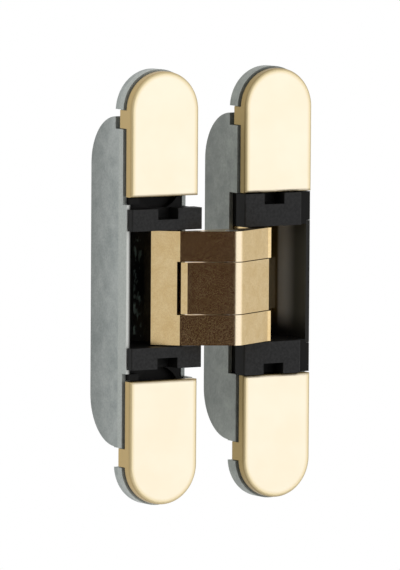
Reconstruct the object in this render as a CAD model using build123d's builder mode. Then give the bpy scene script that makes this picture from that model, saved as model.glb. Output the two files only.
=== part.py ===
# Concealed hinge, open at 180 degrees, with its frame half on the left and its door half on the right.
# The origin is the centre of the frame half's screw pattern, on the seat plane at the back of its flange.
# +X runs towards the door half, +Y goes into the wood and +Z is up.
import os
from math import asin, atan2, cos, degrees, hypot, radians, sin, sqrt, tan

from build123d import *

# Both halves
height = 120.0
width = 22.6
pitch = 36.8
face_depth = 7.6
seat_to_back = 12.8
flange_thickness = 4.0
body_height = 90.8
body_rise = 1.8
body_corner = 13.5
wall = 1.2
floor = 1.2
rim_setback = 1.5
working_height = 50.3
frame_rim_gap = 1.95
door_rim_gap = 8.15
tail_reach = 15.35
tail_pocket_wall = 2.7
tail_pocket_depth = 10.0

# Wood screw holes in the flange
screw_spacing_x = 10.0
screw_end_inset = 8.0
screw_hole_radius = 2.2
screw_head_radius = 4.0

# Covers
cover_depth = 2.6
cover_inset = 0.45
cover_skin = 1.3
cover_wall = 1.0
cover_edge = 0.8
cover_end_gap = 0.15
lug_height = 5.0
lug_end_inset = 11.0
lug_depth = 6.0
notch_clearance = 0.2

# Arms
fork_height = 31.4
centre_arm_height = 14.2
arm_gap = 0.25
centre_reach = 5.0
flank_offset = 4.0
apex_radius = 3.2
knee_inset = 4.0
knee_reach = 1.6
root_inset = 1.8
root_depth = 4.2
arm_back_reach = 0.4
fork_flank = 13.9
fork_reach = 14.9
fork_end_rise = 0.0
centre_arm_flank = 12.6
centre_arm_reach = 13.9
centre_arm_end_rise = 1.3
eye_wall = 1.4
guide_eye_wall = 1.15
neck_clearance = 0.4
closed_gap = 5.0

# Pins
centre_pin_radius = 2.0
pivot_pin_radius = 1.6
guide_pin_radius = 1.25
running_clearance = 0.04
groove_clearance = 0.2
pivot_inset = 6.8
pivot_depth = 7.5
guide_angle = 134.0
guide_beyond_pivot = 5.2
pivot_grip = 5.0
guide_grip = 3.0
groove_end_gap = 0.4

# Bearing blocks
block_gap = 0.35
block_side_gap = 0.1
block_proud = 1.0
block_overhang = 0.2
frame_face_inset = 0.3
door_face_inset = 4.3
neck_inset = 1.1
block_back_gap = 0.4
frame_head_height = 5.95
tail_side_gap = 0.2
tail_back_gap = 0.1
tail_end_gap = 0.5
block_edge = 0.35
access_width = 6.5
access_height = 3.0
access_depth = 5.0
frame_access_shift = 0.5
door_access_shift = 1.9

# Clamp screws and height adjusters in the tails of the blocks
clamp_inset = 3.45
clamp_radius = 2.0
clamp_head_radius = 3.0
clamp_head_height = 2.0
clamp_bite = 4.0
clamp_recess_radius = 7.0
adjuster_spacing = 9.15
adjuster_radius = 1.0
adjuster_head_radius = 1.4
adjuster_head_height = 1.2
adjuster_bite = 3.0
head_sink = 0.2
head_clearance = 0.15
slot_play = 0.4
hex_share = 0.55
hex_depth = 1.1

# Places that follow from the sizes above
half_width = width / 2
mid_x = pitch / 2
face_y = -face_depth
flange_front = -flange_thickness
back_y = seat_to_back
pocket_half = half_width - wall
tail_pocket_width = width - 2 * tail_pocket_wall
block_inner_half = half_width + block_overhang
frame_face_outer_half = half_width - frame_face_inset
door_face_outer_half = half_width - door_face_inset
pocket_floor = back_y - floor
rim_y = face_y + rim_setback
body_y = (back_y + flange_front) / 2
work_half = working_height / 2
frame_rim_height = working_height - 2 * frame_rim_gap
door_rim_height = working_height - 2 * door_rim_gap
tail_pocket_height = working_height + 2 * tail_reach
clamp_offset = work_half + clamp_inset
adjuster_offset = clamp_offset + adjuster_spacing
fork_half = fork_height / 2
slot_half = centre_arm_height / 2 + arm_gap
cover_back = face_y + cover_depth
cover_start = work_half + cover_end_gap
lug_end = height / 2 - lug_end_inset
screw_spacing_z = height - 2 * screw_end_inset
tail_floor = flange_front + tail_pocket_depth
tail_half = tail_pocket_width / 2 - tail_side_gap
neck_inner_half = tail_half - neck_inset
tail_end = tail_pocket_height / 2 - tail_end_gap
tail_back = tail_floor - tail_back_gap
block_start = fork_half + block_gap
block_half = pocket_half - block_side_gap
door_head_height = work_half - block_side_gap - block_start
block_front = face_y - block_proud
block_back = pocket_floor - block_back_gap
eye_radius = pivot_pin_radius + eye_wall
guide_eye_radius = guide_pin_radius + guide_eye_wall
mirror_plane = Plane.YZ.offset(mid_x)

# Linkage of the frame half: the centre pin, the fixed pivot and the guide pin, with the hinge open
centre = (mid_x, face_y - centre_reach)
pivot = (pivot_inset, face_y + pivot_depth)
pivot_span = hypot(centre[0] - pivot[0], centre[1] - pivot[1])
guide_span = pivot_span + guide_beyond_pivot
guide = (
    centre[0] + guide_span * cos(radians(guide_angle)),
    centre[1] + guide_span * sin(radians(guide_angle)),
)

# Angles through which the arms turn until the two faces stand closed_gap apart
shut_rise = pivot_depth + closed_gap / 2
shut_reach = sqrt(pivot_span**2 - shut_rise**2)
open_angle = degrees(atan2(centre[1] - pivot[1], centre[0] - pivot[0]))
pivot_turn = open_angle + 180 - degrees(atan2(shut_rise, shut_reach))
centre_turn = 2 * pivot_turn - 180


def turned(point, about, angle):
    """Turns a point about another by an angle in degrees."""
    dx = point[0] - about[0]
    dy = point[1] - about[1]
    c = cos(radians(angle))
    s = sin(radians(angle))
    return (about[0] + c * dx - s * dy, about[1] + s * dx + c * dy)


def guide_place(share):
    """Place of the guide pin in the frame half, from open at 0 to shut at 1."""
    centre_now = turned(centre, pivot, -pivot_turn * share)
    arm_now = (centre_now[0] + guide[0] - centre[0], centre_now[1] + guide[1] - centre[1])
    return turned(arm_now, centre_now, -(pivot_turn - centre_turn) * share)


def facing(y):
    """Plane at depth y whose X is +X and whose Y is +Z, with its normal out of the wood."""
    return Plane((0, y, 0), x_dir=(1, 0, 0), z_dir=(0, -1, 0))


def finish(solid, name):
    """Labels a finished piece and writes it."""
    solid.label = name
    export_step(solid, f"parts/{name}.step")


def housing(rim_height):
    """Zinc casting of one half: flange, deep body, pockets, rim, lug notches and screw holes."""
    with BuildPart() as part:
        with BuildSketch(Plane.YZ) as side:
            with Locations((body_y, body_rise)):
                Rectangle(back_y - flange_front, body_height)
            fillet(side.vertices().group_by(Axis.X)[-1], body_corner)
        extrude(amount=half_width, both=True)
        with BuildSketch(facing(0)):
            SlotOverall(height, width, rotation=90)
        extrude(amount=flange_thickness)
        with BuildSketch(facing(0)):
            with Locations((-half_width / 2, 0)):
                Rectangle(half_width, rim_height)
        extrude(amount=-rim_y)
        with BuildSketch(facing(pocket_floor)):
            Rectangle(2 * pocket_half, working_height)
        extrude(amount=height, mode=Mode.SUBTRACT)
        with BuildSketch(facing(0)):
            with Locations((half_width, 0)):
                Rectangle(width, working_height)
        extrude(amount=height, mode=Mode.SUBTRACT)
        with BuildSketch(facing(tail_floor)):
            SlotOverall(tail_pocket_height, tail_pocket_width, rotation=90)
        extrude(amount=height, mode=Mode.SUBTRACT)
        with BuildSketch(facing(0)):
            with Locations((0, lug_end - lug_height / 2), (0, lug_height / 2 - lug_end)):
                with GridLocations(width, 1, 2, 1):
                    Rectangle(2 * (cover_wall + cover_inset + notch_clearance),
                              lug_height + 2 * notch_clearance)
        extrude(amount=height, mode=Mode.SUBTRACT)
        with Locations(facing(flange_front)):
            with GridLocations(screw_spacing_x, screw_spacing_z, 2, 2):
                CounterSinkHole(screw_hole_radius, screw_head_radius, depth=flange_thickness)
        with Locations(facing(tail_floor)):
            with GridLocations(1, 2 * clamp_offset, 1, 2):
                Hole(clamp_radius, depth=clamp_bite)
            with GridLocations(1, 2 * adjuster_offset, 1, 2):
                Hole(adjuster_radius, depth=adjuster_bite)
    return part.part


def cover():
    """Cast cap over the upper end of one half, hollow behind, with a clip lug on each side."""
    lug_middle = lug_end - lug_height / 2
    with BuildPart() as part:
        with BuildSketch(facing(cover_back)) as outline:
            SlotOverall(height - 2 * cover_inset, width - 2 * cover_inset, rotation=90)
            with Locations((0, cover_start + height / 2)):
                Rectangle(width, height, mode=Mode.INTERSECT)
        extrude(amount=cover_depth)
        fillet(part.faces().sort_by(Axis.Y)[0].edges(), cover_edge)
        with BuildSketch(facing(cover_back)):
            offset(outline.sketch_local, amount=-cover_wall)
        extrude(amount=cover_depth - cover_skin, mode=Mode.SUBTRACT)
        with BuildSketch(facing(face_y + lug_depth)):
            with Locations((0, lug_middle)):
                with GridLocations(width - 2 * cover_inset - cover_wall, 1, 2, 1):
                    Rectangle(cover_wall, lug_height)
        extrude(amount=lug_depth - cover_skin)
    return part.part


def arm_outline(plane, flank_reach, end_reach, end_rise):
    """Seen from above: an arm with its root in the frame half and its eye in the door half."""
    knee = (knee_inset, face_y - knee_reach)
    corner = (-root_inset, face_y + root_depth)
    across = hypot(centre[0] - knee[0], centre[1] - knee[1])
    slope = atan2(knee[1] - centre[1], centre[0] - knee[0]) + asin(flank_offset / across)
    apex = (mid_x, knee[1] - (mid_x - knee[0]) * tan(slope))
    eye_x = pitch - pivot[0]
    end_x = mid_x + end_reach
    bevel_x = mid_x + flank_reach
    bevel_y = apex[1] + (bevel_x - mid_x) * tan(slope)
    back = face_y - arm_back_reach
    neck_x = pivot[0] - pivot_pin_radius - neck_clearance
    bearing = atan2(guide[1] - corner[1], guide[0] - corner[0])
    reach = hypot(guide[0] - corner[0], guide[1] - corner[1])
    touch = bearing + asin(guide_eye_radius / reach)
    root = (guide[0] - guide_eye_radius * sin(touch), guide[1] + guide_eye_radius * cos(touch))
    with BuildSketch(plane) as shape:
        with BuildLine():
            Polyline(
                apex, knee, corner, root, (neck_x, guide[1]), (neck_x, back),
                (eye_x - eye_radius, back), (eye_x - eye_radius, pivot[1]), (end_x, pivot[1]),
                (end_x, bevel_y + end_rise), (bevel_x, bevel_y),
                close=True,
            )
        make_face()
        fillet(shape.vertices().sort_by(Axis.Y)[0], apex_radius)
        with Locations(guide):
            Circle(guide_eye_radius)
        with Locations((eye_x, pivot[1])):
            Circle(eye_radius)
        with Locations(guide):
            Circle(guide_pin_radius, mode=Mode.SUBTRACT)
        with Locations((eye_x, pivot[1])):
            Circle(pivot_pin_radius + running_clearance, mode=Mode.SUBTRACT)
    return shape.sketch


def pin(place, radius, low, high):
    """Upright steel pin with broken edges."""
    with BuildPart() as part:
        with BuildSketch(Plane.XY.offset(low)):
            with Locations(place):
                Circle(radius)
        extrude(amount=high - low)
        chamfer(part.edges().filter_by(GeomType.CIRCLE), radius / 8)
    return part.part


def block(head_height, rim_height, face_outer_half, plate_half, access_shift):
    """Upper bearing block of the frame half: a head that carries the pins and a tail that is clamped."""
    head_end = block_start + head_height
    neck_end = work_half - block_side_gap
    rim_start = rim_height / 2 + block_side_gap
    groove_top = block_start + guide_grip + groove_end_gap
    face_back = rim_y - block_side_gap
    with BuildPart() as part:
        with BuildSketch(Plane.XY.offset(block_start)):
            with Locations(((block_inner_half - face_outer_half) / 2, (block_front + face_back) / 2)):
                Rectangle(block_inner_half + face_outer_half, face_back - block_front)
            with Locations(((block_inner_half - block_half) / 2, (face_back + flange_front) / 2)):
                Rectangle(block_inner_half + block_half, flange_front - face_back)
            with Locations((0, (flange_front + block_back) / 2)):
                Rectangle(2 * block_half, block_back - flange_front)
        extrude(amount=head_height)
        chamfer(part.edges().filter_by(Axis.Z).sort_by(Axis.Y)[:2], block_edge)
        with BuildSketch(facing(tail_back)):
            with Locations(((neck_inner_half - block_half) / 2, (block_start + neck_end) / 2)):
                Rectangle(neck_inner_half + block_half, neck_end - block_start)
            with Locations((0, (neck_end + tail_end - tail_half) / 2)):
                Rectangle(2 * tail_half, tail_end - tail_half - neck_end)
            with Locations((0, tail_end - tail_half)):
                Circle(tail_half)
        extrude(amount=tail_back - flange_front)
        with BuildSketch(facing(flange_front)):
            with Locations((-(plate_half + neck_inner_half) / 2, (rim_start + neck_end) / 2)):
                Rectangle(plate_half - neck_inner_half, neck_end - rim_start)
        extrude(amount=flange_front - rim_y)
        with BuildSketch(facing(block_front)):
            with Locations((access_shift, head_end - access_height / 2)):
                Rectangle(access_width, access_height)
        extrude(amount=-access_depth, mode=Mode.SUBTRACT)
        with BuildSketch(Plane.XY.offset(block_start)):
            with Locations(pivot):
                Circle(pivot_pin_radius)
        extrude(amount=pivot_grip, mode=Mode.SUBTRACT)
        with BuildLine(Plane.XY.offset(block_start), mode=Mode.PRIVATE) as path:
            ThreePointArc(guide_place(0), guide_place(0.5), guide_place(1))
        with BuildSketch(Plane.XY.offset(block_start)):
            SlotArc(path.line.edge(), 2 * (guide_pin_radius + groove_clearance))
        extrude(amount=groove_top - block_start, mode=Mode.SUBTRACT)
        with BuildSketch(facing(flange_front)):
            with Locations((0, clamp_offset)):
                SlotCenterToCenter(slot_play, 2 * (clamp_radius + head_clearance), rotation=90)
            with Locations((0, adjuster_offset)):
                SlotCenterToCenter(slot_play, 2 * (adjuster_radius + head_clearance), rotation=90)
        extrude(amount=-height, mode=Mode.SUBTRACT)
        with BuildSketch(facing(flange_front)):
            with Locations((0, clamp_offset)):
                Circle(clamp_recess_radius)
            with Locations((0, head_end + height / 2)):
                Rectangle(height, height, mode=Mode.INTERSECT)
        extrude(amount=-clamp_head_height - head_sink, mode=Mode.SUBTRACT)
        with BuildSketch(facing(flange_front)):
            with Locations((0, adjuster_offset)):
                SlotCenterToCenter(slot_play, 2 * (adjuster_head_radius + head_clearance), rotation=90)
        extrude(amount=-adjuster_head_height - head_sink, mode=Mode.SUBTRACT)
    return part.part


def socket_screw(z, radius, head_radius, head_height, bite):
    """Socket head screw through the tail of a block into the housing, with its axis along Y."""
    under_head = flange_front + head_sink + head_height
    with BuildPart() as part:
        with BuildSketch(facing(under_head)):
            with Locations((0, z)):
                Circle(head_radius)
        extrude(amount=head_height)
        with BuildSketch(facing(under_head)):
            with Locations((0, z)):
                Circle(radius)
        extrude(amount=-(tail_floor + bite - under_head))
        with BuildSketch(facing(under_head - head_height)):
            with Locations((0, z)):
                RegularPolygon(head_radius * hex_share, 6)
        extrude(amount=-hex_depth, mode=Mode.SUBTRACT)
    return part.part


os.makedirs("parts", exist_ok=True)

finish(housing(frame_rim_height), "frame_housing")
finish(mirror(housing(door_rim_height), about=mirror_plane), "door_housing")

cap = cover()
lower_cap = mirror(cap, about=Plane.XY)
finish(cap, "frame_upper_cover")
finish(lower_cap, "frame_lower_cover")
finish(mirror(cap, about=mirror_plane), "door_upper_cover")
finish(mirror(lower_cap, about=mirror_plane), "door_lower_cover")

with BuildPart() as fork_arm:
    extrude(
        arm_outline(Plane.XY.offset(-fork_half), fork_flank, fork_reach, fork_end_rise),
        amount=fork_height,
    )
    with BuildSketch(Plane.XY.offset(-slot_half)):
        with Locations(centre):
            Circle(pivot_span + eye_radius + neck_clearance - running_clearance)
        with Locations((pivot[0] - eye_radius - neck_clearance + height / 2, 0)):
            Rectangle(height, height, mode=Mode.INTERSECT)
    extrude(amount=2 * slot_half, mode=Mode.SUBTRACT)
    with BuildSketch(Plane.XY.offset(-fork_half)):
        with Locations(centre):
            Circle(centre_pin_radius)
    extrude(amount=fork_height, mode=Mode.SUBTRACT)
finish(fork_arm.part, "fork_arm")

with BuildPart() as centre_arm:
    extrude(
        arm_outline(
            Plane.XY.offset(-centre_arm_height / 2), centre_arm_flank, centre_arm_reach, centre_arm_end_rise
        ),
        amount=centre_arm_height,
    )
    mirror(about=mirror_plane, mode=Mode.REPLACE)
    with BuildSketch(Plane.XY.offset(-centre_arm_height / 2)):
        with Locations(centre):
            Circle(centre_pin_radius + running_clearance)
    extrude(amount=centre_arm_height, mode=Mode.SUBTRACT)
finish(centre_arm.part, "centre_arm")

finish(pin(centre, centre_pin_radius, -fork_half, fork_half), "centre_pin")
pivot_pin = pin(pivot, pivot_pin_radius, -block_start - pivot_grip, block_start + pivot_grip)
finish(pivot_pin, "frame_pivot_pin")
finish(mirror(pivot_pin, about=mirror_plane), "door_pivot_pin")
guide_pin = pin(guide, guide_pin_radius, -block_start - guide_grip, block_start + guide_grip)
finish(guide_pin, "frame_guide_pin")
finish(mirror(guide_pin, about=mirror_plane), "door_guide_pin")

frame_block = block(
    frame_head_height, frame_rim_height, frame_face_outer_half, block_half, frame_access_shift
)
door_block = block(
    door_head_height, door_rim_height, door_face_outer_half, half_width, door_access_shift
)
finish(frame_block, "frame_upper_block")
finish(mirror(frame_block, about=Plane.XY), "frame_lower_block")
finish(mirror(door_block, about=mirror_plane), "door_upper_block")
finish(mirror(mirror(door_block, about=mirror_plane), about=Plane.XY), "door_lower_block")

for level, z in (("upper", 1), ("lower", -1)):
    clamp = socket_screw(z * clamp_offset, clamp_radius, clamp_head_radius, clamp_head_height, clamp_bite)
    adjuster = socket_screw(z * adjuster_offset, adjuster_radius, adjuster_head_radius,
                            adjuster_head_height, adjuster_bite)
    finish(clamp, f"frame_{level}_clamp_screw")
    finish(adjuster, f"frame_{level}_adjuster")
    finish(mirror(clamp, about=mirror_plane), f"door_{level}_clamp_screw")
    finish(mirror(adjuster, about=mirror_plane), f"door_{level}_adjuster")
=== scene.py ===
from math import cos, radians, sin

import bmesh
import bpy
from mathutils import Matrix, Vector


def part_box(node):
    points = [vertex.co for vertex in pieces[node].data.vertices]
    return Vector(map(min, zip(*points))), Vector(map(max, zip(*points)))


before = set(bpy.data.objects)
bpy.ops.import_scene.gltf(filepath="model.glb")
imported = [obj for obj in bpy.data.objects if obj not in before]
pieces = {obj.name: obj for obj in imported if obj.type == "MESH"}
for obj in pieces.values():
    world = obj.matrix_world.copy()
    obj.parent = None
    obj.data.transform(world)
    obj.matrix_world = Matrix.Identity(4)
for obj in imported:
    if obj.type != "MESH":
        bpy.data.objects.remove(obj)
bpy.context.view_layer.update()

# Housings: die-cast zinc, tumbled and left bare: a cloudy matt grey with a fine grain, with painted
# shade towards the back, on the door half and in the pockets, and painted highlights on the frame
# half's rim and in the pockets. Each is screwed into its mortise through the ends of its flange.
mm = 0.001
frame_low, frame_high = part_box("frame_housing")
door_low, door_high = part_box("door_housing")
middle_x = (frame_low.x + door_high.x) / 2
half_width = (frame_high.x - frame_low.x) / 2
pitch = door_low.x - frame_low.x
housing_wall = 1.2 * mm
pocket_half_height = 25.2 * mm
pocket_floor = 11.6 * mm
rim_front = frame_low.y
cover_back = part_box("frame_upper_cover")[1].y
margin = 0.05 * mm
cloud_size = 4.5 * mm
# The real grain is finer, and is drawn as coarse as it needs to show.
casting_grain = 0.6 * mm
grain_depth = 0.15 * mm
highlight_depth = 0.3 * mm
# The rim's front carries a painted highlight along its outer edge and painted shade inward of that.
rim_pale_width = 0.5 * mm
rim_dark_from = 1.1 * mm
# Painted glints: light breaking into specks on the floor of the frame half's pocket.
glint_width = 1.3 * mm
glint_length = 3.2 * mm
glint_band_x = 3.0 * mm
glint_band_reach = 1.3 * mm
floor_margin = 0.1 * mm
# Depths and heights between which the painted light and shade on the walls of the door half's pocket change.
wall_dark_to = -1.0 * mm
wall_pale_from = 6.5 * mm
reflection_start = 7.6 * mm
reflection_full = 9.2 * mm
foot_shadow_start = -8.0 * mm
foot_shadow_full = -15.0 * mm


def linear(hex_colour):
    """Turns an sRGB hex colour into the linear colour that a shader socket takes."""
    channels = []
    for start in (1, 3, 5):
        value = int(hex_colour[start:start + 2], 16) / 255
        channels.append(value / 12.92 if value <= 0.04045 else ((value + 0.055) / 1.055) ** 2.4)
    return (*channels, 1.0)


def node(tree, kind, inputs=None, **settings):
    """Adds one node: an input that is a socket is linked, and any other sets a fixed value."""
    made = tree.nodes.new(kind)
    for name, value in settings.items():
        setattr(made, name, value)
    for name, value in (inputs or {}).items():
        if isinstance(value, bpy.types.NodeSocket):
            tree.links.new(value, made.inputs[name])
        else:
            made.inputs[name].default_value = value
    return made


def start_finish(name):
    """Starts a finish: an empty material, its node tree and its Object coordinates."""
    finish = bpy.data.materials.new(name)
    finish.use_nodes = True
    finish.node_tree.nodes.clear()
    return finish, finish.node_tree, node(finish.node_tree, "ShaderNodeTexCoord").outputs["Object"]


def wear(finish, names):
    """Gives a finish to the named pieces."""
    for name in names:
        pieces[name].data.materials.clear()
        pieces[name].data.materials.append(finish)


zinc, tree, place = start_finish("cast_zinc")
# The skin: clouds on each half, and a dark speckle from the grain; the door half's skin is darker, a painted
# shade.
clouds = node(tree, "ShaderNodeTexNoise", {"Vector": place, "Scale": 1 / cloud_size, "Detail": 5.0,
                                           "Roughness": 0.6, "Distortion": 0.3})
grain = node(tree, "ShaderNodeTexNoise", {"Vector": place, "Scale": 1 / casting_grain, "Detail": 3.0,
                                          "Roughness": 0.6})
cloudy = node(tree, "ShaderNodeMapRange", {"Value": clouds.outputs["Fac"], "From Min": 0.32,
                                           "From Max": 0.7})
speckled = node(tree, "ShaderNodeMapRange", {"Value": grain.outputs["Fac"], "From Min": 0.35,
                                             "From Max": 0.62, "To Min": 0.16, "To Max": 0.0})
axes = node(tree, "ShaderNodeSeparateXYZ", {"Vector": place})
from_middle = node(tree, "ShaderNodeMath", {0: axes.outputs["X"], 1: middle_x}, operation="SUBTRACT")
on_door_half = node(tree, "ShaderNodeMath", {0: from_middle.outputs[0], 1: 0.0}, operation="GREATER_THAN")
frame_skin = node(tree, "ShaderNodeMix", {0: cloudy.outputs["Result"], 6: linear("#979E9B"),
                                          7: linear("#B1B6B3")}, data_type="RGBA")
shaded_door_skin = node(tree, "ShaderNodeMix", {0: cloudy.outputs["Result"], 6: linear("#888D88"),
                                         7: linear("#A1A69F")}, data_type="RGBA")
skin = node(tree, "ShaderNodeMix", {0: on_door_half.outputs[0], 6: frame_skin.outputs[2],
                                    7: shaded_door_skin.outputs[2]}, data_type="RGBA")
# Painted shade: the skin darkens towards the back.
back_shade = node(tree, "ShaderNodeMapRange", {"Value": axes.outputs["Y"], "From Min": cover_back,
                                           "From Max": frame_high.y, "To Max": 0.38})
back_shaded = node(tree, "ShaderNodeMix", {0: back_shade.outputs["Result"], 6: skin.outputs[2], 7: linear("#3A3D3C")},
            data_type="RGBA")
# Painted highlight: the frame half's skin is paler in front of the covers' backs.
painted_highlight = node(tree, "ShaderNodeMapRange", {"Value": axes.outputs["Y"], "From Min": cover_back,
                                           "From Max": cover_back - highlight_depth, "To Max": 0.85})
on_frame_half = node(tree, "ShaderNodeMath", {0: 1.0, 1: on_door_half.outputs[0]}, operation="SUBTRACT")
rim_highlight = node(tree, "ShaderNodeMath", {0: painted_highlight.outputs["Result"], 1: on_frame_half.outputs[0]},
           operation="MULTIPLY")
rim_highlighted = node(tree, "ShaderNodeMix", {0: rim_highlight.outputs[0], 6: back_shaded.outputs[2], 7: linear("#B3B8B3")},
                data_type="RGBA")
bare = node(tree, "ShaderNodeMix", {0: speckled.outputs["Result"], 6: rim_highlighted.outputs[2],
                                    7: linear("#2E302F")}, data_type="RGBA")
# The pocket, where light and shade are painted: between the long walls, between the ends, and not on the
# outside of the back.
aside = node(tree, "ShaderNodeMath", {0: from_middle.outputs[0]}, operation="ABSOLUTE")
off_centre = node(tree, "ShaderNodeMath", {0: aside.outputs[0], 1: pitch / 2}, operation="SUBTRACT")
reach = node(tree, "ShaderNodeMath", {0: off_centre.outputs[0]}, operation="ABSOLUTE")
between_walls = node(tree, "ShaderNodeMath", {0: reach.outputs[0], 1: half_width - housing_wall + margin},
                     operation="LESS_THAN")
height = node(tree, "ShaderNodeMath", {0: axes.outputs["Z"]}, operation="ABSOLUTE")
between_ends = node(tree, "ShaderNodeMath", {0: height.outputs[0], 1: pocket_half_height},
                    operation="LESS_THAN")
not_outside = node(tree, "ShaderNodeMath", {0: axes.outputs["Y"], 1: pocket_floor + housing_wall / 2},
                   operation="LESS_THAN")
enclosed = node(tree, "ShaderNodeMath", {0: between_walls.outputs[0], 1: between_ends.outputs[0]},
                operation="MULTIPLY")
inside = node(tree, "ShaderNodeMath", {0: enclosed.outputs[0], 1: not_outside.outputs[0]},
              operation="MULTIPLY")
# Painted glints: pale specks of light in a band on the floor of the frame half's pocket, over its painted
# shade.
stretched = node(tree, "ShaderNodeMapping", {"Vector": place, "Scale": (1 / glint_width, 1 / glint_width,
                                                                       1 / glint_length)})
broken = node(tree, "ShaderNodeTexNoise", {"Vector": stretched.outputs[0], "Scale": 1.0, "Detail": 2.0,
                                           "Roughness": 0.6})
glints = node(tree, "ShaderNodeMapRange", {"Value": broken.outputs["Fac"], "From Min": 0.53,
                                           "From Max": 0.66})
at_floor = node(tree, "ShaderNodeMath", {0: axes.outputs["Y"], 1: pocket_floor - floor_margin},
                operation="GREATER_THAN")
in_band = node(tree, "ShaderNodeMath", {0: axes.outputs["X"], 1: glint_band_x, 2: glint_band_reach},
               operation="COMPARE")
lit_band = node(tree, "ShaderNodeMath", {0: at_floor.outputs[0], 1: in_band.outputs[0]},
                operation="MULTIPLY")
glinting = node(tree, "ShaderNodeMath", {0: glints.outputs["Result"], 1: lit_band.outputs[0]},
                operation="MULTIPLY")
frame_pocket_shade_and_glints = node(tree, "ShaderNodeMix", {0: glinting.outputs[0], 6: linear("#1F2121"),
                                            7: linear("#9DB3AB")}, data_type="RGBA")
# The door half's pocket: painted light and shade, paler with depth, a painted brownish reflection at the
# back and a painted shadow at the foot.
wall_light_ramp = node(tree, "ShaderNodeMapRange", {"Value": axes.outputs["Y"], "From Min": wall_dark_to,
                                          "From Max": wall_pale_from}, interpolation_type="SMOOTHSTEP")
painted_wall_light = node(tree, "ShaderNodeMix", {0: wall_light_ramp.outputs["Result"], 6: linear("#4C4C45"), 7: linear("#E6E6E4")},
            data_type="RGBA")
reflection_zone = node(tree, "ShaderNodeMapRange", {"Value": axes.outputs["Y"], "From Min": reflection_start,
                                          "From Max": reflection_full}, interpolation_type="SMOOTHSTEP")
foot_shadow = node(tree, "ShaderNodeMapRange", {"Value": axes.outputs["Z"], "From Min": foot_shadow_start,
                                         "From Max": foot_shadow_full}, interpolation_type="SMOOTHSTEP")
painted_reflection = node(tree, "ShaderNodeMix", {0: reflection_zone.outputs["Result"], 6: painted_wall_light.outputs[2], 7: linear("#6B582B")},
            data_type="RGBA")
door_pocket_light = node(tree, "ShaderNodeMix", {0: foot_shadow.outputs["Result"], 6: painted_reflection.outputs[2],
                                           7: linear("#23221F")}, data_type="RGBA")
painted_pocket_light = node(tree, "ShaderNodeMix", {0: on_door_half.outputs[0], 6: frame_pocket_shade_and_glints.outputs[2],
                                           7: door_pocket_light.outputs[2]}, data_type="RGBA")
painted = node(tree, "ShaderNodeMix", {0: inside.outputs[0], 6: bare.outputs[2], 7: painted_pocket_light.outputs[2]},
               data_type="RGBA")
# Painted light and shade on the rim's front: pale on the frame half's outer edge, dark inward, dark all over
# on the door half.
at_front = node(tree, "ShaderNodeMath", {0: axes.outputs["Y"], 1: rim_front + margin},
                operation="LESS_THAN")
inward = node(tree, "ShaderNodeMapRange", {"Value": axes.outputs["X"],
                                           "From Min": frame_low.x + rim_pale_width,
                                           "From Max": frame_low.x + rim_dark_from})
frame_rim_light = node(tree, "ShaderNodeMix", {0: inward.outputs["Result"], 6: linear("#D2D4CF"),
                                           7: linear("#3A3B38")}, data_type="RGBA")
painted_rim_light = node(tree, "ShaderNodeMix", {0: on_door_half.outputs[0], 6: frame_rim_light.outputs[2],
                                            7: linear("#1E1E1C")}, data_type="RGBA")
colour = node(tree, "ShaderNodeMix", {0: at_front.outputs[0], 6: painted.outputs[2],
                                      7: painted_rim_light.outputs[2]}, data_type="RGBA")
metal = node(tree, "ShaderNodeMapRange", {"Value": inside.outputs[0], "To Min": 0.6, "To Max": 0.0})
relief = node(tree, "ShaderNodeBump", {"Height": grain.outputs["Fac"], "Strength": 0.2,
                                       "Distance": grain_depth})
surface = node(tree, "ShaderNodeBsdfPrincipled", {
    "Base Color": colour.outputs[2], "Metallic": metal.outputs["Result"], "Roughness": 0.46,
    "Normal": relief.outputs["Normal"],
})
node(tree, "ShaderNodeOutputMaterial", {"Surface": surface.outputs[0]})
wear(zinc, ["frame_housing", "door_housing"])

# Bearing blocks: black glass-filled polyamide mouldings that carry the pins of the arms and are
# clamped in the housing pockets. The mould's spark-eroded texture leaves them matt, and painted
# shade blackens what lies behind the front face.
block_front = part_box("door_upper_block")[0].y
shade_start = 0.05 * mm
shade_full = 0.4 * mm
# The real texture is finer, and is drawn as coarse as it needs to show.
spark_texture = 0.7 * mm
texture_depth = 0.1 * mm
polyamide, tree, place = start_finish("glass_filled_polyamide")
texture = node(tree, "ShaderNodeTexNoise", {"Vector": place, "Scale": 1 / spark_texture, "Detail": 3.0,
                                            "Roughness": 0.55})
mottled = node(tree, "ShaderNodeMapRange", {"Value": texture.outputs["Fac"], "From Min": 0.35,
                                            "From Max": 0.65})
front = node(tree, "ShaderNodeMix", {0: mottled.outputs["Result"], 6: linear("#242424"),
                                     7: linear("#2F2F2F")}, data_type="RGBA")
axes = node(tree, "ShaderNodeSeparateXYZ", {"Vector": place})
# Painted shade: darker behind the front face.
shaded_behind_front = node(tree, "ShaderNodeMapRange", {"Value": axes.outputs["Y"],
                                           "From Min": block_front + shade_start,
                                           "From Max": block_front + shade_full})
colour = node(tree, "ShaderNodeMix", {0: shaded_behind_front.outputs["Result"], 6: front.outputs[2],
                                      7: linear("#121211")}, data_type="RGBA")
relief = node(tree, "ShaderNodeBump", {"Height": texture.outputs["Fac"], "Strength": 0.2,
                                       "Distance": texture_depth})
surface = node(tree, "ShaderNodeBsdfPrincipled", {
    "Base Color": colour.outputs[2], "Roughness": 0.55, "Specular IOR Level": 0.15,
    "Normal": relief.outputs["Normal"],
})
node(tree, "ShaderNodeOutputMaterial", {"Surface": surface.outputs[0]})
wear(polyamide, [name for name in pieces if name.endswith("_block")])

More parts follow.
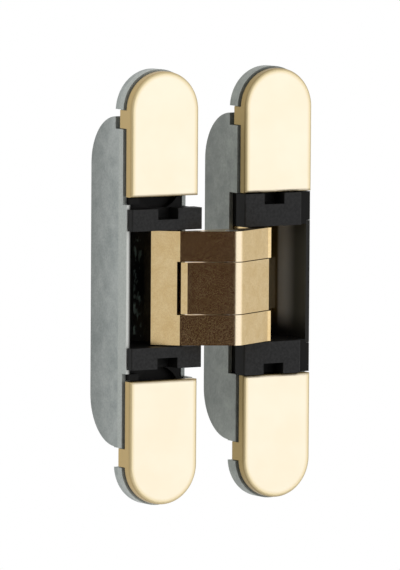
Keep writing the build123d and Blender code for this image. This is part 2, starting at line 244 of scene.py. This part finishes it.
# Clamp screws and height adjusters: hardened steel with a dark zinc-nickel plating, set into
# the tails of the blocks and hidden by the covers.
plating_clouds = 1.1 * mm
plated_steel, tree, place = start_finish("dark_plated_steel")
clouds = node(tree, "ShaderNodeTexNoise", {"Vector": place, "Scale": 1 / plating_clouds, "Detail": 3.0,
                                           "Roughness": 0.6})
cloudy = node(tree, "ShaderNodeMapRange", {"Value": clouds.outputs["Fac"], "From Min": 0.3, "From Max": 0.7})
colour = node(tree, "ShaderNodeMix", {0: cloudy.outputs["Result"], 6: linear("#3C3D3F"),
                                      7: linear("#5A5B5E")}, data_type="RGBA")
surface = node(tree, "ShaderNodeBsdfPrincipled", {"Base Color": colour.outputs[2], "Metallic": 1.0,
                                                  "Roughness": 0.4})
node(tree, "ShaderNodeOutputMaterial", {"Surface": surface.outputs[0]})
wear(plated_steel, [name for name in pieces if name.endswith(("_screw", "_adjuster"))])

# Pins: centreless ground steel rods that the arms turn on. The grinding leaves them bright,
# with slight marks, which are finer than drawn here: drawn as they are, they wouldn't show.
grinding_marks = 0.55 * mm
ground_steel, tree, place = start_finish("ground_steel")
marks = node(tree, "ShaderNodeTexNoise", {"Vector": place, "Scale": 1 / grinding_marks, "Detail": 3.0,
                                          "Roughness": 0.7})
uneven = node(tree, "ShaderNodeMapRange", {"Value": marks.outputs["Fac"], "From Min": 0.3, "From Max": 0.7})
colour = node(tree, "ShaderNodeMix", {0: uneven.outputs["Result"], 6: linear("#9A9B9C"),
                                      7: linear("#C4C5C6")}, data_type="RGBA")
surface = node(tree, "ShaderNodeBsdfPrincipled", {"Base Color": colour.outputs[2], "Metallic": 1.0,
                                                  "Roughness": 0.3})
node(tree, "ShaderNodeOutputMaterial", {"Surface": surface.outputs[0]})
wear(ground_steel, [name for name in pieces if name.endswith("_pin")])

# Arms: die-cast zinc with a brass-coloured plating, glossier than the covers. The plating
# follows the cast skin, so reflections in it are a little cloudy and grainy, and the rounded
# crest where the arms meet carries a painted highlight. They turn on the pins.
plating_clouds = 4.3 * mm
# The real grain is finer, and is drawn as coarse as it needs to show.
plating_grain = 0.45 * mm
pit_depth = 0.06 * mm
crest_depth = 1.5 * mm
# The outward direction's Y, -1 straight to the front, where the crest starts and is full.
crest_start = -0.86
crest_full = -0.985
# How far past the middle the painted highlight starts to fade and has faded.
fade_start = 0.3 * mm
fade_end = 1.5 * mm
apex_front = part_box("fork_arm")[0].y
brass_plating, tree, place = start_finish("brass_plated_casting")
clouds = node(tree, "ShaderNodeTexNoise", {"Vector": place, "Scale": 1 / plating_clouds, "Detail": 4.0,
                                           "Roughness": 0.6, "Distortion": 0.6})
grain = node(tree, "ShaderNodeTexNoise", {"Vector": place, "Scale": 1 / plating_grain, "Detail": 2.0,
                                          "Roughness": 0.5})
cloudy = node(tree, "ShaderNodeMapRange", {"Value": clouds.outputs["Fac"], "From Min": 0.3, "From Max": 0.7})
plating = node(tree, "ShaderNodeMix", {0: cloudy.outputs["Result"], 6: linear("#E6C991"),
                                       7: linear("#F2D9A6")}, data_type="RGBA")
pitted = node(tree, "ShaderNodeMapRange", {"Value": grain.outputs["Fac"], "From Min": 0.35,
                                           "From Max": 0.65, "To Min": 0.15, "To Max": 0.0})
pits = node(tree, "ShaderNodeMix", {0: pitted.outputs["Result"], 6: plating.outputs[2],
                                    7: linear("#B0703F")}, data_type="RGBA")
axes = node(tree, "ShaderNodeSeparateXYZ", {"Vector": place})
facing = node(tree, "ShaderNodeSeparateXYZ", {"Vector": node(tree, "ShaderNodeTexCoord").outputs["Normal"]})
rounded = node(tree, "ShaderNodeMapRange", {"Value": facing.outputs["Y"], "From Min": crest_start,
                                            "From Max": crest_full}, interpolation_type="SMOOTHSTEP")
near_apex = node(tree, "ShaderNodeMath", {0: axes.outputs["Y"], 1: apex_front + crest_depth},
                 operation="LESS_THAN")
fading = node(tree, "ShaderNodeMapRange", {"Value": axes.outputs["X"], "From Min": middle_x + fade_start,
                                           "From Max": middle_x + fade_end, "To Min": 1.0, "To Max": 0.25})
# Painted highlight on the crest, fading past the middle.
crest_highlight = node(tree, "ShaderNodeMath", {0: rounded.outputs["Result"], 1: near_apex.outputs[0]},
             operation="MULTIPLY")
painted_highlight = node(tree, "ShaderNodeMath", {0: crest_highlight.outputs[0], 1: fading.outputs["Result"]},
              operation="MULTIPLY")
colour = node(tree, "ShaderNodeMix", {0: painted_highlight.outputs[0], 6: pits.outputs[2], 7: linear("#F4E3C4")},
              data_type="RGBA")
gloss = node(tree, "ShaderNodeMapRange", {"Value": grain.outputs["Fac"], "From Min": 0.35, "From Max": 0.65,
                                          "To Min": 0.2, "To Max": 0.24})
relief = node(tree, "ShaderNodeBump", {"Height": grain.outputs["Fac"], "Strength": 0.13,
                                       "Distance": pit_depth})
surface = node(tree, "ShaderNodeBsdfPrincipled", {
    "Base Color": colour.outputs[2], "Metallic": 1.0, "Roughness": gloss.outputs["Result"],
    "Normal": relief.outputs["Normal"],
})
node(tree, "ShaderNodeOutputMaterial", {"Surface": surface.outputs[0]})
wear(brass_plating, ["fork_arm", "centre_arm"])

# Covers: die-cast caps with a pale satin brass plating under lacquer, clipped over the ends of
# the flanges. Their faces are brushed almost white and their borders keep a deeper gold; the deeper,
# darker gold on their edges is painted shade, darker still on the door half.
lacquer_clouds = 11 * mm
satin_grain = 0.2 * mm
satin_depth = 0.04 * mm
border_width = 1.8 * mm
border_full = 0.3 * mm
# The outward direction's Y, from -1 on the face to 0 on the edge, where the painted shade comes in,
# and how metallic the rounding between them looks.
face_end = -0.995
rounding_start = -0.98
edge_start = -0.5
rounding_end = -0.25
edge_full = -0.05
rounding_metal = 0.2
cover_low, cover_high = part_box("frame_upper_cover")
cover_end = cover_high.z
cover_half_width = (cover_high.x - cover_low.x) / 2
satin_brass, tree, place = start_finish("satin_brass_plating")
clouds = node(tree, "ShaderNodeTexNoise", {"Vector": place, "Scale": 1 / lacquer_clouds, "Detail": 2.0,
                                           "Roughness": 0.5})
grain = node(tree, "ShaderNodeTexNoise", {"Vector": place, "Scale": 1 / satin_grain, "Detail": 2.0,
                                          "Roughness": 0.6})
cloudy = node(tree, "ShaderNodeMapRange", {"Value": clouds.outputs["Fac"], "From Min": 0.35,
                                           "From Max": 0.65})
face = node(tree, "ShaderNodeMix", {0: cloudy.outputs["Result"], 6: linear("#FBEFD4"), 7: linear("#FDF2D9")},
            data_type="RGBA")
axes = node(tree, "ShaderNodeSeparateXYZ", {"Vector": place})
on_door_half = node(tree, "ShaderNodeMath", {0: axes.outputs["X"], 1: middle_x}, operation="GREATER_THAN")
# Painted shade: the edges turn a darker gold than the face, darker still on the door half.
painted_side_shade = node(tree, "ShaderNodeMix", {0: on_door_half.outputs[0], 6: linear("#B9A16F"), 7: linear("#9C8758")},
            data_type="RGBA")
facing = node(tree, "ShaderNodeSeparateXYZ", {"Vector": node(tree, "ShaderNodeTexCoord").outputs["Normal"]})
side_shade_ramp = node(tree, "ShaderNodeMapRange", {"Value": facing.outputs["Y"], "From Min": face_end,
                                         "From Max": edge_start})
level_front = node(tree, "ShaderNodeMapRange", {"Value": facing.outputs["Y"], "From Min": rounding_start,
                                                "From Max": face_end, "To Min": rounding_metal})
level_side = node(tree, "ShaderNodeMapRange", {"Value": facing.outputs["Y"], "From Min": rounding_end,
                                               "From Max": edge_full, "To Min": rounding_metal})
metal = node(tree, "ShaderNodeMath", {0: level_front.outputs["Result"], 1: level_side.outputs["Result"]},
             operation="MAXIMUM")
# The border follows the outline of a cover: straight along its sides, and round at its end.
from_middle = node(tree, "ShaderNodeMath", {0: axes.outputs["X"], 1: middle_x}, operation="SUBTRACT")
aside = node(tree, "ShaderNodeMath", {0: from_middle.outputs[0]}, operation="ABSOLUTE")
across = node(tree, "ShaderNodeMath", {0: aside.outputs[0], 1: pitch / 2}, operation="SUBTRACT")
height = node(tree, "ShaderNodeMath", {0: axes.outputs["Z"]}, operation="ABSOLUTE")
past = node(tree, "ShaderNodeMath", {0: height.outputs[0], 1: cover_end - cover_half_width},
            operation="SUBTRACT")
along = node(tree, "ShaderNodeMath", {0: past.outputs[0], 1: 0.0}, operation="MAXIMUM")
flat = node(tree, "ShaderNodeCombineXYZ", {"X": across.outputs[0], "Y": along.outputs[0]})
outward = node(tree, "ShaderNodeVectorMath", {0: flat.outputs[0]}, operation="LENGTH")
border = node(tree, "ShaderNodeMapRange", {
    "Value": outward.outputs["Value"], "From Min": cover_half_width - border_width,
    "From Max": cover_half_width - border_full, "To Max": 0.8,
}, interpolation_type="SMOOTHSTEP")
bordered = node(tree, "ShaderNodeMix", {0: border.outputs["Result"], 6: face.outputs[2],
                                        7: linear("#E0CB92")}, data_type="RGBA")
colour = node(tree, "ShaderNodeMix", {0: side_shade_ramp.outputs["Result"], 6: bordered.outputs[2], 7: painted_side_shade.outputs[2]},
              data_type="RGBA")
relief = node(tree, "ShaderNodeBump", {"Height": grain.outputs["Fac"], "Strength": 0.12,
                                       "Distance": satin_depth})
surface = node(tree, "ShaderNodeBsdfPrincipled", {
    "Base Color": colour.outputs[2], "Metallic": metal.outputs[0], "Roughness": 0.34,
    "Normal": relief.outputs["Normal"],
})
node(tree, "ShaderNodeOutputMaterial", {"Surface": surface.outputs[0]})
wear(satin_brass, [name for name in pieces if name.endswith("_cover")])

# Floor: a plain pale disc some way under the hinge, pure white to the camera and in the metal,
# which throws soft light back up.
floor_radius = 0.9
floor_segments = 96
floor_height = -0.25
mesh = bpy.data.meshes.new("floor")
disc = bmesh.new()
bmesh.ops.create_circle(disc, cap_ends=True, segments=floor_segments, radius=floor_radius)
bmesh.ops.translate(disc, verts=disc.verts, vec=(middle_x, 0, floor_height))
disc.to_mesh(mesh)
disc.free()
floor = bpy.data.objects.new("floor", mesh)
bpy.context.collection.objects.link(floor)
paper, tree, _ = start_finish("white_paper")
ray = node(tree, "ShaderNodeLightPath")
shown = node(tree, "ShaderNodeMath", {0: ray.outputs["Is Camera Ray"], 1: ray.outputs["Is Glossy Ray"]},
             operation="MAXIMUM")
pale = node(tree, "ShaderNodeBsdfDiffuse", {"Color": (0.75, 0.75, 0.75, 1.0)})
white = node(tree, "ShaderNodeEmission", {"Color": (1.0, 1.0, 1.0, 1.0), "Strength": 1.0})
sheet = node(tree, "ShaderNodeMixShader", {0: shown.outputs[0], 1: pale.outputs[0], 2: white.outputs[0]})
node(tree, "ShaderNodeOutputMaterial", {"Surface": sheet.outputs[0]})
mesh.materials.append(paper)

# Studio: a light tent with soft light from above, a white backdrop behind the hinge, a broad
# panel in front on the right, and the dark opening of the tent in front on the left.
scene = bpy.context.scene
scene.view_settings.view_transform = "Standard"
world = bpy.data.worlds.new("studio")
world.use_nodes = True
scene.world = world
tree = world.node_tree
tree.nodes.clear()
way = node(tree, "ShaderNodeTexCoord").outputs["Generated"]
up = node(tree, "ShaderNodeSeparateXYZ", {"Vector": way})
rise = node(tree, "ShaderNodeMapRange", {"Value": up.outputs["Z"], "From Min": -0.2, "From Max": 0.95},
            interpolation_type="SMOOTHSTEP")
tent = node(tree, "ShaderNodeMix", {0: rise.outputs["Result"], 6: (0.73, 0.73, 0.73, 1),
                                    7: (0.85, 0.85, 0.85, 1)}, data_type="RGBA").outputs[2]
# The backdrop, the panel and the opening: direction, full and outer angle in degrees, and light.
for direction, full, outer, light in (
    ((0.0, 1.0, 0.0), 50, 85, (0.98, 0.98, 0.98, 1)),
    ((0.53, -0.85, 0.0), 26, 50, (1.15, 1.15, 1.17, 1)),
    ((-0.43, -0.89, -0.05), 14, 27, (0.03, 0.009, 0.003, 1)),
):
    along = node(tree, "ShaderNodeVectorMath", {0: way, 1: Vector(direction).normalized()},
                 operation="DOT_PRODUCT")
    share = node(tree, "ShaderNodeMapRange", {
        "Value": along.outputs["Value"], "From Min": cos(radians(outer)), "From Max": cos(radians(full)),
    }, interpolation_type="SMOOTHSTEP")
    tent = node(tree, "ShaderNodeMix", {0: share.outputs["Result"], 6: tent, 7: light},
                data_type="RGBA").outputs[2]
lit = node(tree, "ShaderNodeBackground", {"Color": tent, "Strength": 1.0})
clear = node(tree, "ShaderNodeBackground", {"Color": (1.0, 1.0, 1.0, 1.0), "Strength": 1.0})
ray = node(tree, "ShaderNodeLightPath")
backdrop = node(tree, "ShaderNodeMixShader", {0: ray.outputs["Is Camera Ray"], 1: lit.outputs[0],
                                              2: clear.outputs[0]})
node(tree, "ShaderNodeOutputWorld", {"Surface": backdrop.outputs[0]})

# Camera: left of the faces and a little above, far off with a long lens as for a catalogue
# picture, with the middle of the hinge to the right of the picture's centre.
picture_width = 400
pixels_per_mm = 3.633
view_left = radians(31.8)
view_up = radians(5.0)
roll = radians(-0.35)
distance = 1.95
far_limit = 50
# How far the hinge stands to the right of and below the picture's centre, in pixels.
shift_right = 21.5
shift_down = 0.9
forward = Vector((sin(view_left) * cos(view_up), cos(view_left) * cos(view_up), -sin(view_up)))
rightward = Vector((cos(view_left), -sin(view_left), 0))
upward = rightward.cross(forward)
level = Matrix.Rotation(roll, 3, forward)
rightward = level @ rightward
upward = level @ upward
aim = Vector((middle_x, cover_low.y, 0))
aim = aim + (upward * shift_down - rightward * shift_right) * mm / pixels_per_mm
lens = bpy.data.cameras.new("camera")
lens.sensor_fit = "HORIZONTAL"
lens.sensor_width = 36
lens.lens = lens.sensor_width * pixels_per_mm * distance / mm / picture_width
lens.clip_end = far_limit
camera = bpy.data.objects.new("camera", lens)
scene.collection.objects.link(camera)
camera.matrix_world = Matrix.Translation(aim - forward * distance) @ Matrix((
    (rightward.x, upward.x, -forward.x, 0),
    (rightward.y, upward.y, -forward.y, 0),
    (rightward.z, upward.z, -forward.z, 0),
    (0, 0, 0, 1),
))
scene.camera = camera
